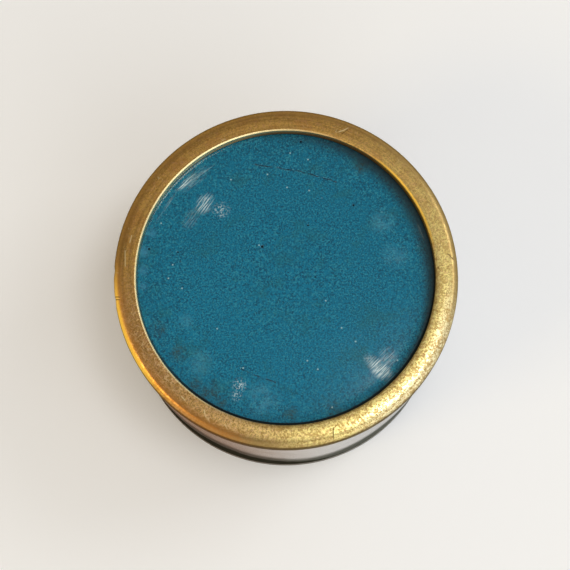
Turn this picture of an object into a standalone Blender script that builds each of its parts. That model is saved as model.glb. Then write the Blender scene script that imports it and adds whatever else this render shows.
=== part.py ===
"""Round pill box with a lift-off lid.

The lid is a turned brass rim that frames an enamelled copper plaque from behind.
Its spigot plugs into the mouth of a silver-plated base, where a split ring grips the gilt liner.
Heights are measured from the surface the box stands on, and every piece is turned about the Z axis.
"""

from math import atan, cos, degrees, radians, sin

import bmesh
import bpy

MM = 0.001
SEGMENTS = 72  # facets in a full turn, shared by all pieces so that nested walls stay parallel
FACET_DEG = 360 / SEGMENTS
FUSED_GAP = 0.05  # between pieces that are bonded, soldered or pressed face to face
SEAT_GAP = 0.1  # between a piece and the ledge or groove that holds it

# Outer envelope
RIM_RADIUS = 19.0
TOTAL_HEIGHT = 27.4
WALL_RADIUS = 18.75

# Lid rim: a flange that covers the wall, a lip over the enamel, and a spigot
RIM_FOOT = 24.6
RIM_CREST_RADIUS = 17.1
RIM_CROWN_BEND = 10.0  # radius of the arc across the rim's top
RIM_CROWN_STEPS = 4
RIM_EDGE_ROUND = 0.8
RIM_EDGE_ARC_STEPS = 6
RIM_FOOT_CHAMFER = 0.12
LIP_RADIUS = 16.5
LIP_CHAMFER = 0.15
LIP_FOOT = 26.0
SPIGOT_RADIUS = 17.75
SPIGOT_BORE = 17.0
SPIGOT_FOOT = 20.8
SPIGOT_LEAD_IN = 0.15

# Grooves in the spigot: inside for the retaining ring, outside for the grip ring
KEEPER_GROOVE_RADIUS = 17.2
KEEPER_GROOVE = (23.0, 23.6)
GRIP_GROOVE_RADIUS = 17.3
GRIP_GROOVE = (21.6, 22.3)

# Stack behind the lip, from the enamel down
PLAQUE_RADIUS = SPIGOT_BORE - FUSED_GAP
ENAMEL_EDGE = LIP_FOOT - SEAT_GAP
ENAMEL_FOOT = 25.35
ENAMEL_DOME_RADIUS = 16.0
ENAMEL_DOME_EDGE = 25.98
ENAMEL_DOME_RISE = 0.22
ENAMEL_DOME_STEPS = 5
ENAMEL_ROLL_RADIUS = 16.4
COPPER_THICKNESS = 0.35
COUNTER_ENAMEL_THICKNESS = 0.15
PACKING_THICKNESS = 0.55
PACKING_RADIUS = 16.85
BACKPLATE_THICKNESS = 0.5
BACKPLATE_RADIUS = 16.9
BACKPLATE_CHAMFER = 0.12

# Split rings
KEEPER_INNER_RADIUS = 16.2
KEEPER_SPLIT_FACETS = 4
GRIP_RADIUS = 17.85
GRIP_INNER_RADIUS = 17.35
GRIP_SPLIT_FACETS = 3
RING_CHAMFER = 0.1

# Base
WALL_THICKNESS = 0.5
MOUTH_RADIUS = 18.85
MOUTH_FOOT = 24.0
MOUTH_BEAD_STEPS = 6
LINER_BORE = 17.9
LINER_THICKNESS = 0.3
LINER_FLOOR = 1.05
LINER_FLOOR_THICKNESS = 0.4
LINER_CORNER = 0.9
LINER_CORNER_STEPS = 4
FOOT_RADIUS = 18.8
FOOT_HEIGHT = 1.0
FOOT_EDGE_ROUND = 0.25
FOOT_EDGE_STEPS = 3
FOOT_BORE = 17.4
FOOT_LEDGE = 0.4
FOOT_SEAT_RADIUS = 18.1
BASE_PLATE_THICKNESS = 0.5

SHARP_ABOVE_DEG = 30  # edges that bend more than this are drawn sharp

# Finishes: colour, roughness, metallic
FINISHES = {
    "rim_brass": ((0.50, 0.33, 0.11), 0.38, 1.0),
    "teal_enamel": ((0.012, 0.140, 0.225), 0.12, 0.0),
    "plaque_copper": ((0.62, 0.28, 0.16), 0.35, 1.0),
    "counter_enamel": ((0.030, 0.045, 0.055), 0.25, 0.0),
    "cork_packing": ((0.42, 0.27, 0.15), 0.90, 0.0),
    "gilt_brass": ((0.72, 0.52, 0.24), 0.28, 1.0),
    "silver_plate": ((0.58, 0.55, 0.52), 0.30, 1.0),
    "spring_bronze": ((0.48, 0.30, 0.13), 0.32, 1.0),
}


def clear_scene():
    for obj in list(bpy.data.objects):
        bpy.data.objects.remove(obj, do_unlink=True)


def make_finish(name):
    colour, roughness, metallic = FINISHES[name]
    material = bpy.data.materials.new(name)
    material.use_nodes = True
    shader = material.node_tree.nodes["Principled BSDF"]
    shader.inputs["Base Color"].default_value = (*colour, 1.0)
    shader.inputs["Roughness"].default_value = roughness
    shader.inputs["Metallic"].default_value = metallic
    return material


def make_axis(name, height):
    """An empty on the turning axis, which carries the pieces of one body."""
    axis = bpy.data.objects.new(name, None)
    axis.location.z = height * MM
    bpy.context.scene.collection.objects.link(axis)
    return axis


def arc(centre, radius, start_deg, end_deg, steps):
    """Points (r, z) along a round stretch of an outline, both ends included."""
    points = []
    for step in range(steps + 1):
        angle = radians(start_deg + (end_deg - start_deg) * step / steps)
        points.append((centre[0] + radius * cos(angle), centre[1] + radius * sin(angle)))
    return points


def crown_height(r):
    """The rim's top is a flat arc with its crest nearer the lip."""
    return TOTAL_HEIGHT - (r - RIM_CREST_RADIUS) ** 2 / (2 * RIM_CROWN_BEND)


def crown_points(outer):
    """Points across the rim's top, from just inside the outer shoulder to the crest."""
    points = []
    for step in range(1, RIM_CROWN_STEPS + 1):
        r = outer + (RIM_CREST_RADIUS - outer) * step / RIM_CROWN_STEPS
        points.append((r, crown_height(r)))
    return points


def shoulder_points():
    """The outer edge's round, from the side up to where it meets the top's slope."""
    centre_r = RIM_RADIUS - RIM_EDGE_ROUND
    slope_deg = degrees(atan((centre_r - RIM_CREST_RADIUS) / RIM_CROWN_BEND))
    end_deg = 90 - slope_deg
    meeting_r = centre_r + RIM_EDGE_ROUND * cos(radians(end_deg))
    centre_z = crown_height(meeting_r) - RIM_EDGE_ROUND * sin(radians(end_deg))
    return arc((centre_r, centre_z), RIM_EDGE_ROUND, 0, end_deg, RIM_EDGE_ARC_STEPS)


def spin_outline(mesh, outline, foot, facets):
    """Turn an outline of (r, z) points about Z; an outline that ends on the axis makes a disc."""
    work = bmesh.new()
    verts = [work.verts.new((r * MM, 0, (z - foot) * MM)) for r, z in outline]
    on_axis = outline[0][0] == 0 and outline[-1][0] == 0
    pairs = list(zip(verts, verts[1:]))
    if not on_axis:
        pairs.append((verts[-1], verts[0]))
    edges = [work.edges.new(pair) for pair in pairs]
    bmesh.ops.spin(
        work, geom=verts + edges, cent=(0, 0, 0), axis=(0, 0, 1),
        angle=radians(facets * FACET_DEG), steps=facets,
    )
    bmesh.ops.remove_doubles(work, verts=work.verts, dist=MM / 1000)
    if facets < SEGMENTS:
        bmesh.ops.holes_fill(work, edges=work.edges, sides=0)
    bmesh.ops.recalc_face_normals(work, faces=work.faces)
    work.to_mesh(mesh)
    work.free()


def add_turned(name, outline, finish, axis, split_facets=0):
    """One turned piece, with its origin on the axis at the height of its lowest point."""
    foot = min(z for _, z in outline)
    mesh = bpy.data.meshes.new(name)
    spin_outline(mesh, outline, foot, SEGMENTS - split_facets)
    mesh.materials.append(make_finish(finish))
    mesh.shade_smooth()
    mesh.set_sharp_from_angle(angle=radians(SHARP_ABOVE_DEG))
    piece = bpy.data.objects.new(name, mesh)
    bpy.context.scene.collection.objects.link(piece)
    piece.parent = axis
    piece.location.z = foot * MM - axis.location.z
    return piece


def disc_outline(radius, foot, thickness, chamfer=0.0):
    top = foot + thickness
    if chamfer == 0.0:
        return [(0, top), (radius, top), (radius, foot), (0, foot)]
    return [
        (0, top),
        (radius, top),
        (radius, foot + chamfer),
        (radius - chamfer, foot),
        (0, foot),
    ]


def ring_outline(inner, outer, foot, top, chamfer):
    return [
        (inner, foot),
        (outer - chamfer, foot),
        (outer, foot + chamfer),
        (outer, top - chamfer),
        (outer - chamfer, top),
        (inner, top),
    ]


def lid_rim_outline():
    flange = [
        (SPIGOT_RADIUS, RIM_FOOT),
        (RIM_RADIUS - RIM_FOOT_CHAMFER, RIM_FOOT),
        (RIM_RADIUS, RIM_FOOT + RIM_FOOT_CHAMFER),
    ]
    edge = shoulder_points()
    top = crown_points(edge[-1][0])
    lip_top = LIP_RADIUS + LIP_CHAMFER
    lip = [
        (lip_top, crown_height(lip_top)),
        (LIP_RADIUS, crown_height(lip_top) - LIP_CHAMFER),
        (LIP_RADIUS, LIP_FOOT),
        (SPIGOT_BORE, LIP_FOOT),
    ]
    keeper_groove = [
        (SPIGOT_BORE, KEEPER_GROOVE[1]),
        (KEEPER_GROOVE_RADIUS, KEEPER_GROOVE[1]),
        (KEEPER_GROOVE_RADIUS, KEEPER_GROOVE[0]),
        (SPIGOT_BORE, KEEPER_GROOVE[0]),
    ]
    spigot_end = [
        (SPIGOT_BORE, SPIGOT_FOOT),
        (SPIGOT_RADIUS - SPIGOT_LEAD_IN, SPIGOT_FOOT),
        (SPIGOT_RADIUS, SPIGOT_FOOT + SPIGOT_LEAD_IN),
    ]
    grip_groove = [
        (SPIGOT_RADIUS, GRIP_GROOVE[0]),
        (GRIP_GROOVE_RADIUS, GRIP_GROOVE[0]),
        (GRIP_GROOVE_RADIUS, GRIP_GROOVE[1]),
        (SPIGOT_RADIUS, GRIP_GROOVE[1]),
    ]
    return flange + edge + top + lip + keeper_groove + spigot_end + grip_groove


def enamel_outline():
    """A low dome inside the lip, with a flange that the lip holds down."""
    dome = []
    for step in range(ENAMEL_DOME_STEPS + 1):
        share = step / ENAMEL_DOME_STEPS
        dome.append((ENAMEL_DOME_RADIUS * share, ENAMEL_DOME_EDGE + ENAMEL_DOME_RISE * (1 - share ** 2)))
    flange = [
        (ENAMEL_ROLL_RADIUS, ENAMEL_EDGE),
        (PLAQUE_RADIUS, ENAMEL_EDGE),
        (PLAQUE_RADIUS, ENAMEL_FOOT),
        (0, ENAMEL_FOOT),
    ]
    return dome + flange


def mouth_ring_outline():
    top = RIM_FOOT - FUSED_GAP
    bead = (top - MOUTH_FOOT) / 2
    return (
        [(LINER_BORE, MOUTH_FOOT)]
        + arc((MOUTH_RADIUS - bead, MOUTH_FOOT + bead), bead, -90, 90, MOUTH_BEAD_STEPS)
        + [(LINER_BORE + SEAT_GAP, top), (LINER_BORE, top - SEAT_GAP)]
    )


def liner_outline():
    """A cup open at the top, with rounded corners inside and out."""
    top = MOUTH_FOOT - FUSED_GAP
    outer = LINER_BORE + LINER_THICKNESS
    floor = LINER_FLOOR + LINER_FLOOR_THICKNESS
    inner_corner = LINER_CORNER - LINER_THICKNESS
    return (
        [(0, floor)]
        + arc((LINER_BORE - inner_corner, floor + inner_corner), inner_corner, -90, 0, LINER_CORNER_STEPS)
        + [(LINER_BORE, top), (outer, top)]
        + arc((outer - LINER_CORNER, LINER_FLOOR + LINER_CORNER), LINER_CORNER, 0, -90, LINER_CORNER_STEPS)
        + [(0, LINER_FLOOR)]
    )


def foot_ring_outline():
    round_centre = (FOOT_RADIUS - FOOT_EDGE_ROUND, FOOT_EDGE_ROUND)
    return (
        [(FOOT_BORE, 0)]
        + arc(round_centre, FOOT_EDGE_ROUND, -90, 0, FOOT_EDGE_STEPS)
        + [
            (FOOT_RADIUS, FOOT_HEIGHT),
            (FOOT_SEAT_RADIUS, FOOT_HEIGHT),
            (FOOT_SEAT_RADIUS, FOOT_LEDGE),
            (FOOT_BORE, FOOT_LEDGE),
        ]
    )


def build_plaque(axis):
    """Enamel, copper and counter-enamel, fused as one panel and held behind the lip."""
    copper_foot = ENAMEL_FOOT - FUSED_GAP - COPPER_THICKNESS
    counter_foot = copper_foot - FUSED_GAP - COUNTER_ENAMEL_THICKNESS
    copper = disc_outline(PLAQUE_RADIUS, copper_foot, COPPER_THICKNESS)
    counter = disc_outline(PLAQUE_RADIUS, counter_foot, COUNTER_ENAMEL_THICKNESS)
    add_turned("enamel_face", enamel_outline(), "teal_enamel", axis)
    add_turned("copper_plaque", copper, "plaque_copper", axis)
    add_turned("counter_enamel", counter, "counter_enamel", axis)
    return counter_foot


def build_lid(axis):
    add_turned("lid_rim", lid_rim_outline(), "rim_brass", axis)
    counter_foot = build_plaque(axis)
    packing_foot = counter_foot - FUSED_GAP - PACKING_THICKNESS
    backplate_foot = packing_foot - FUSED_GAP - BACKPLATE_THICKNESS
    packing = disc_outline(PACKING_RADIUS, packing_foot, PACKING_THICKNESS)
    backplate = disc_outline(BACKPLATE_RADIUS, backplate_foot, BACKPLATE_THICKNESS, BACKPLATE_CHAMFER)
    keeper = ring_outline(
        KEEPER_INNER_RADIUS,
        KEEPER_GROOVE_RADIUS - FUSED_GAP,
        KEEPER_GROOVE[0] + FUSED_GAP,
        KEEPER_GROOVE[1] - FUSED_GAP,
        RING_CHAMFER,
    )
    add_turned("packing_disc", packing, "cork_packing", axis)
    add_turned("lid_backplate", backplate, "gilt_brass", axis)
    add_turned("retaining_ring", keeper, "spring_bronze", axis, KEEPER_SPLIT_FACETS)


def build_grip(axis):
    """The split spring ring that rides in the spigot's outer groove and grips the liner."""
    grip = ring_outline(
        GRIP_INNER_RADIUS,
        GRIP_RADIUS,
        GRIP_GROOVE[0] + SEAT_GAP,
        GRIP_GROOVE[1] - SEAT_GAP,
        RING_CHAMFER,
    )
    add_turned("grip_ring", grip, "spring_bronze", axis, GRIP_SPLIT_FACETS)


def build_base(axis):
    wall_foot = FOOT_HEIGHT + FUSED_GAP
    wall_top = MOUTH_FOOT - FUSED_GAP
    wall_bore = WALL_RADIUS - WALL_THICKNESS
    wall = [(wall_bore, wall_foot), (WALL_RADIUS, wall_foot), (WALL_RADIUS, wall_top), (wall_bore, wall_top)]
    plate = disc_outline(FOOT_SEAT_RADIUS - FUSED_GAP, FOOT_LEDGE + FUSED_GAP, BASE_PLATE_THICKNESS)
    add_turned("body_wall", wall, "silver_plate", axis)
    add_turned("mouth_ring", mouth_ring_outline(), "silver_plate", axis)
    add_turned("liner_cup", liner_outline(), "gilt_brass", axis)
    add_turned("base_plate", plate, "silver_plate", axis)
    add_turned("foot_ring", foot_ring_outline(), "silver_plate", axis)


def build_pill_box():
    clear_scene()
    build_base(make_axis("base_axis", 0))
    build_grip(make_axis("grip_axis", GRIP_GROOVE[0]))
    build_lid(make_axis("lid_axis", RIM_FOOT))


build_pill_box()
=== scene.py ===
"""Visual model of a round pill box: turned brass rim, enamelled plaque, silver-plated base and gilt liner.

Outlines are drawn in millimetres as (radius, height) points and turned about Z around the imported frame.
Each finish is a node material whose coordinates are also in millimetres, so every grain has its real size.
"""
from math import cos, exp, pi, radians, sin, tan, tau

import bmesh
import bpy
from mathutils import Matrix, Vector, noise


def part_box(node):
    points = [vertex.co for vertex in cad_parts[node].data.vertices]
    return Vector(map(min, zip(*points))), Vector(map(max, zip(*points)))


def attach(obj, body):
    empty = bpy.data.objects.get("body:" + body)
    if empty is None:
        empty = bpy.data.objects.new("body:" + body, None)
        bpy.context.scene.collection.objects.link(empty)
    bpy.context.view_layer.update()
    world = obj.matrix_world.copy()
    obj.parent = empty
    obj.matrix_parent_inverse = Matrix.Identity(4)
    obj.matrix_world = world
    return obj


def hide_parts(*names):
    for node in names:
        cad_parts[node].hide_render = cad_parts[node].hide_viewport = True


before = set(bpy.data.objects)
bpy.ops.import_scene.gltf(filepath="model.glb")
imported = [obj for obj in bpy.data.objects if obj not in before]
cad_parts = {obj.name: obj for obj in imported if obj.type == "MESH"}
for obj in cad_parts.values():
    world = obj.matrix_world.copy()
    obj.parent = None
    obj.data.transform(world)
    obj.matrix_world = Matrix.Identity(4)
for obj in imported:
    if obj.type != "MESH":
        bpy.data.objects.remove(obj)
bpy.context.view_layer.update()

MM = 0.001
ON_AXIS = 1e-6  # an outline point closer to the axis than this, in millimetres, lies on it
ROUND_STEPS = 5  # facets in each rounded corner of an outline
TURN_STEPS = 288  # facets in a full turn
SMOOTH_BELOW = radians(32)  # edges that bend less are shaded smooth
HOLLOW_SPREAD = 0.14  # how far a hollow's share reaches along its outline, in millimetres
FULL_HOLLOW = pi / 2  # the inward bend that counts as a whole hollow


def extent(node):
    """Outer radius, foot and top of a CAD node, in millimetres."""
    low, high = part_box(node)
    return high.x / MM, low.z / MM, high.z / MM


# ------------ outlines

def rounded(corners, closed=True):
    """Outline points, with each corner (r, z, radius) turned into an arc of that radius."""
    points = []
    last = len(corners) - 1
    for i, (r, z, radius) in enumerate(corners):
        corner = Vector((r, z))
        if radius == 0 or (not closed and i in (0, last)):
            points.append(corner)
            continue
        back = (Vector(corners[i - 1][:2]) - corner).normalized()
        ahead = (Vector(corners[(i + 1) % len(corners)][:2]) - corner).normalized()
        half = back.angle(ahead) / 2
        centre = corner + (back + ahead).normalized() * (radius / sin(half))
        start = corner + back * (radius / tan(half)) - centre
        end = corner + ahead * (radius / tan(half)) - centre
        for step in range(ROUND_STEPS + 1):
            share = step / ROUND_STEPS
            points.append(centre + start.lerp(end, share).normalized() * radius)
    return points


def subdivided(points, longest, closed=True):
    """The same outline with its long stretches cut into steps no longer than that."""
    ends = points[1:] + points[:1] if closed else points[1:]
    result = []
    for start, end in zip(points, ends):
        pieces = max(1, round((end - start).length / longest))
        result += [start.lerp(end, step / pieces) for step in range(pieces)]
    return result if closed else result + [points[-1]]


def signed_turns(points, closed):
    """How sharply the outline bends at each point, in radians, positive on outside corners."""
    area = sum(a.x * b.y - b.x * a.y for a, b in zip(points, points[1:] + points[:1]))
    side = 1 if area > 0 else -1
    turns = []
    for i, here in enumerate(points):
        if not closed and i in (0, len(points) - 1):
            turns.append(0.0)
            continue
        back = here - points[i - 1]
        ahead = points[(i + 1) % len(points)] - here
        bend = back.angle(ahead, 0.0)
        turns.append(bend * side * (1 if back.x * ahead.y - back.y * ahead.x > 0 else -1))
    return turns


def hollow_shares(points, closed):
    """For each point, how much it lies in a hollow of the outline, from 0 to 1."""
    turns = signed_turns(points, closed)
    hollows = []
    for here in points:
        bend = 0.0
        for turn, there in zip(turns, points):
            gap = (here - there).length / HOLLOW_SPREAD
            if gap < 3:
                bend += turn * exp(-gap * gap)
        hollows.append(min(1.0, max(0.0, -bend / FULL_HOLLOW)))
    return hollows


# ------------ meshes

def unchanged(r, z, angle):
    """The plain turned shape, with nothing added."""
    return r, z


def section_rings(work, outline, angles, shape):
    """Vertices for each outline point at each angle; a point on the axis is one shared vertex."""
    centre_verts = {}
    rings = []
    for angle in angles:
        ring = []
        for i, point in enumerate(outline):
            if point.x < ON_AXIS:
                if i not in centre_verts:
                    _, z = shape(0.0, point.y, 0.0)
                    centre_verts[i] = work.verts.new((0, 0, z * MM))
                ring.append(centre_verts[i])
                continue
            r, z = shape(point.x, point.y, angle)
            ring.append(work.verts.new((r * cos(angle) * MM, r * sin(angle) * MM, z * MM)))
        rings.append(ring)
    return rings


def bridge_sections(work, first, second, closed):
    """Faces between two neighbouring sections."""
    count = len(first)
    for i in range(count if closed else count - 1):
        j = (i + 1) % count
        corners = []
        for vert in (first[i], first[j], second[j], second[i]):
            if vert not in corners:
                corners.append(vert)
        if len(corners) > 2:
            work.faces.new(corners)


def turned_mesh(name, outline, shape=unchanged, split=None):
    """An outline turned about Z, whole or with a gap given as (start, end) angles in radians."""
    closed = outline[0].x > ON_AXIS
    hollows = hollow_shares(outline, closed)
    work = bmesh.new()
    hollow_layer = work.verts.layers.float.new("hollow")
    if split is None:
        angles = [tau * step / TURN_STEPS for step in range(TURN_STEPS)]
    else:
        start, sweep = split[1], tau - (split[1] - split[0])
        angles = [start + sweep * step / TURN_STEPS for step in range(TURN_STEPS + 1)]
    rings = section_rings(work, outline, angles, shape)
    for ring in rings:
        for vert, hollow in zip(ring, hollows):
            vert[hollow_layer] = hollow
    followers = rings[1:] + rings[:1] if split is None else rings[1:]
    for first, second in zip(rings, followers):
        bridge_sections(work, first, second, closed)
    if split is not None:
        work.faces.new(rings[0])
        work.faces.new(list(reversed(rings[-1])))
    bmesh.ops.recalc_face_normals(work, faces=work.faces)
    mesh = bpy.data.meshes.new(name)
    work.to_mesh(mesh)
    work.free()
    mesh.shade_smooth()
    mesh.set_sharp_from_angle(angle=SMOOTH_BELOW)
    return mesh


def add_piece(mesh, finish, body, node):
    """A visible piece, named as its mesh, that rides on a body and stands for a CAD node."""
    mesh.materials.append(finish)
    piece = bpy.data.objects.new(mesh.name, mesh)
    bpy.context.scene.collection.objects.link(piece)
    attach(piece, body)
    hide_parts(node)


# ------------ node graphs

SMALLEST_RADIUS = 0.01  # in millimetres; keeps the directions on the axis from dividing by zero
MOST_GLANCING = 0.05  # cosine of the most glancing view that still lengthens the way through a film
PLAIN_GLOSS = 0.5  # the shine of an ordinary coating
BLACK = (0.0, 0.0, 0.0)
WHITE = (1.0, 1.0, 1.0)


class Finish:
    """Builds one node material. A value may be a socket, a number or a tuple."""

    def __init__(self, name):
        self.material = bpy.data.materials.new(name)
        self.material.use_nodes = True
        self.tree = self.material.node_tree
        self.shader = self.tree.nodes["Principled BSDF"]
        coordinates = self.node("TexCoord", {})
        self.place = self.vector("SCALE", coordinates.outputs["Object"], scale=1 / MM)
        split = self.node("SeparateXYZ", {0: self.place})
        self.x, self.y, self.z = split.outputs
        self.flat = self.combine(self.x, self.y, 0.0)
        self.radius = self.math("SQRT", self.add(self.times(self.x, self.x), self.times(self.y, self.y)))
        self.cosine = self.math("DIVIDE", self.x, self.math("MAXIMUM", self.radius, SMALLEST_RADIUS))
        self.sine = self.math("DIVIDE", self.y, self.math("MAXIMUM", self.radius, SMALLEST_RADIUS))

    def node(self, kind, inputs, **settings):
        made = self.tree.nodes.new("ShaderNode" + kind)
        for key, value in settings.items():
            setattr(made, key, value)
        for key, value in inputs.items():
            self.join(value, made.inputs[key])
        return made

    def join(self, value, target):
        if isinstance(value, bpy.types.NodeSocket):
            self.tree.links.new(value, target)
        else:
            target.default_value = value

    def math(self, operation, *values):
        return self.node("Math", dict(enumerate(values)), operation=operation).outputs[0]

    def add(self, *values):
        total = values[0]
        for value in values[1:]:
            total = self.math("ADD", total, value)
        return total

    def times(self, *values):
        total = values[0]
        for value in values[1:]:
            total = self.math("MULTIPLY", total, value)
        return total

    def minus(self, first, second):
        return self.math("SUBTRACT", first, second)

    def inverse(self, value):
        return self.math("SUBTRACT", 1.0, value)

    def vector(self, operation, *values, scale=None):
        made = self.node("VectorMath", dict(enumerate(values)), operation=operation)
        if scale is not None:
            self.join(scale, made.inputs["Scale"])
        return made.outputs["Value" if operation in ("DISTANCE", "LENGTH", "DOT_PRODUCT") else "Vector"]

    def combine(self, x, y, z):
        return self.node("CombineXYZ", {0: x, 1: y, 2: z}).outputs[0]

    def attribute(self, name):
        return self.node("Attribute", {}, attribute_name=name).outputs["Fac"]

    def noise(self, scale, detail=3.0, roughness=0.55, place=None, height=None):
        """Noise from 0 to 1 with about that many waves per millimetre; height is its fourth dimension."""
        inputs = {
            "Vector": self.place if place is None else place,
            "Scale": scale,
            "Detail": detail,
            "Roughness": roughness,
        }
        if height is not None:
            inputs["W"] = height
        made = self.node("TexNoise", inputs, noise_dimensions="3D" if height is None else "4D")
        return made.outputs[0]

    def cells(self, scale):
        """Distance to the nearest of scattered points, and that point's random value."""
        made = self.node("TexVoronoi", {"Vector": self.place, "Scale": scale})
        return made.outputs["Distance"], self.node("SeparateColor", {0: made.outputs["Color"]}).outputs[0]

    def turning_lines(self, across, along, detail=3.0):
        """Fine lines that run round the axis, as a lathe or a polishing mop leaves them."""
        place = self.combine(
            self.times(self.x, along),
            self.times(self.y, along),
            self.times(self.radius, across),
        )
        return self.noise(1.0, detail, 0.6, place, self.times(self.z, across))

    def ramp(self, value, low, high, bottom=0.0, top=1.0):
        """Smooth step of value between low and high."""
        inputs = {0: value, 1: low, 2: high, 3: bottom, 4: top}
        return self.node("MapRange", inputs, interpolation_type="SMOOTHSTEP").outputs[0]

    def mix(self, share, first, second):
        """Colour mix; the colours are (r, g, b) or sockets."""
        inputs = {0: share, 6: self.colour(first), 7: self.colour(second)}
        return self.node("Mix", inputs, data_type="RGBA").outputs[2]

    def blend(self, share, first, second):
        return self.node("Mix", {0: share, 2: first, 3: second}, data_type="FLOAT").outputs[0]

    @staticmethod
    def colour(value):
        return value if isinstance(value, bpy.types.NodeSocket) else (*value, 1.0)

    def shade(self, colour, amount):
        """The colour made darker or lighter by a factor."""
        grey = self.node("CombineColor", {0: amount, 1: amount, 2: amount}).outputs[0]
        inputs = {0: 1.0, 6: self.colour(colour), 7: grey}
        return self.node("Mix", inputs, data_type="RGBA", blend_type="MULTIPLY").outputs[2]

    def towards(self, azimuth_deg):
        """1 on the side of the box that faces that azimuth, 0 on the opposite side."""
        angle = radians(azimuth_deg)
        facing = self.add(self.times(self.cosine, cos(angle)), self.times(self.sine, sin(angle)))
        return self.math("MULTIPLY_ADD", facing, 0.5, 0.5)

    def distance_to(self, x, y):
        """Distance in plan from a place given in millimetres."""
        return self.vector("DISTANCE", self.flat, (x, y, 0.0))

    def line(self, start, end, width, place):
        """A soft line from start to end, in millimetres, seen at a place in plan.

        Cycles limits how many values a material holds at once. A Clamp node takes less of that room than a
        Math node that clamps, which leaves enough for the rim's many marks.
        """
        run = Vector((end[0] - start[0], end[1] - start[1], 0.0))
        offset = self.vector("SUBTRACT", place, (*start, 0.0))
        along = self.vector("DOT_PRODUCT", offset, tuple(run / run.length_squared))
        along = self.node("Clamp", {0: along, 1: 0.0, 2: 1.0}).outputs[0]
        nearest = self.vector("SCALE", tuple(run), scale=along)
        return self.ramp(self.vector("DISTANCE", offset, nearest), width, width * 0.2)

    def curls(self, scale, width, detail=0.0):
        """Thin closed curls: the lines where a noise passes its middle value."""
        level = self.math("ABSOLUTE", self.minus(self.noise(scale, detail, 0.5), 0.5))
        return self.ramp(level, width, width * 0.3)

    def strongest(self, values):
        total = values[0]
        for value in values[1:]:
            total = self.math("MAXIMUM", total, value)
        return total

    def film(self, thickness):
        """How opaque a thin film looks: the more glancing the view, the more of the film lies in its way."""
        facing = self.node("LayerWeight", {"Blend": 0.5}).outputs["Facing"]
        depth = self.math("DIVIDE", thickness, self.math("MAXIMUM", self.inverse(facing), MOST_GLANCING))
        return self.inverse(self.math("EXPONENT", self.times(depth, -1.0)))

    def bump(self, height, depth, normal=None):
        """Relief of that depth in millimetres, where height goes from 0 to 1."""
        inputs = {"Height": height, "Distance": depth * MM, "Strength": 1.0}
        if normal is not None:
            inputs["Normal"] = normal
        return self.node("Bump", inputs).outputs[0]

    def finish(self, colour, roughness, metallic=0.0, normal=None, glance=None, gloss=PLAIN_GLOSS):
        """The finished material: glance is a metal's colour at a glancing angle, gloss all else's shine."""
        self.join(self.colour(colour), self.shader.inputs["Base Color"])
        self.join(roughness, self.shader.inputs["Roughness"])
        self.join(metallic, self.shader.inputs["Metallic"])
        self.join(gloss, self.shader.inputs["Specular IOR Level"])
        if normal is not None:
            self.join(normal, self.shader.inputs["Normal"])
        if glance is not None:
            self.join(self.colour(glance), self.shader.inputs["Specular Tint"])
        return self.material


# ------------ finishes

# Each brown and yellow pair below is a shaded and a lit copy of one colour: painted light, mixed by side,
# partly real patina
BRASS_SHADED_BROWN = (0.70, 0.425, 0.115)
BRASS_LIT_YELLOW = (0.86, 0.745, 0.285)
BRASS_HIGHLIGHT_CREAM = (0.98, 0.92, 0.62)
BRASS_COPPERY = (0.80, 0.46, 0.19)
SPOT_SHADED_BROWN = (0.31, 0.165, 0.040)
SPOT_LIT_YELLOW = (0.40, 0.255, 0.070)
RUST = (0.50, 0.235, 0.065)
PINK_SHADED_BROWN = (0.64, 0.35, 0.16)
PINK_LIT_YELLOW = (0.74, 0.50, 0.25)
PIT = (0.18, 0.098, 0.030)
CURL_DARK = (0.24, 0.130, 0.038)
CURL_PALE = (0.96, 0.68, 0.36)
FRESH_METAL = (0.98, 0.82, 0.46)
LIP_WEAR_AND_HIGHLIGHT = (1.0, 0.87, 0.48)
GLINT_AMBER = (1.0, 0.64, 0.10)
TARNISH_AND_SHADE_BROWN = (0.23, 0.135, 0.040)
TARNISH_AND_SHADE_YELLOW = (0.36, 0.250, 0.098)
GLINT_GOLD = (1.0, 0.62, 0.08)
WARM_REFLECTION_ORANGE = (0.82, 0.38, 0.090)
EDGE_RUST = (0.48, 0.21, 0.050)
# a dark brown for grime and for painted shade
GRIME_AND_SHADE = (0.060, 0.034, 0.014)

# Marks on the brass: each runs from one place to another, in rim radii, x across and y away from the front
DARK_CUTS = (
    ((-0.995, -0.116), (-0.960, -0.122)),
    ((-0.990, -0.132), (-0.962, -0.136)),
    ((0.262, -0.885), (0.262, -0.948)),
    ((0.940, 0.120), (0.972, 0.088)),
    ((0.335, 0.845), (0.368, 0.868)),
)
FRESH_SCRATCHES = (
    ((-0.990, 0.028), (-0.970, 0.020)),
    ((-0.990, -0.124), (-0.962, -0.129)),
    ((0.318, 0.858), (0.345, 0.866)),
    ((0.345, 0.866), (0.372, 0.882)),
    ((-0.470, -0.778), (-0.466, -0.808)),
    ((-0.466, -0.808), (-0.448, -0.835)),
    ((-0.448, -0.822), (-0.440, -0.852)),
    ((-0.352, -0.862), (-0.340, -0.886)),
    ((-0.600, -0.700), (-0.580, -0.722)),
    ((-0.930, 0.060), (-0.932, 0.150)),
    ((-0.905, 0.200), (-0.895, 0.240)),
)
CUT_WIDTH = 0.085  # in millimetres
SCRATCH_WIDTH = 0.095


def brass_marks(f, marks, width):
    """The marks as one mask, kept to the upper part of the rim."""
    lines = []
    for start, end in marks:
        ends = [(x * RIM_RADIUS, y * RIM_RADIUS) for x, y in (start, end)]
        lines.append(f.line(*ends, width, f.flat))
    on_top = f.ramp(f.z, RIM_TOP - 1.2, RIM_TOP - 0.9)
    return f.times(f.strongest(lines), on_top)


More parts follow.
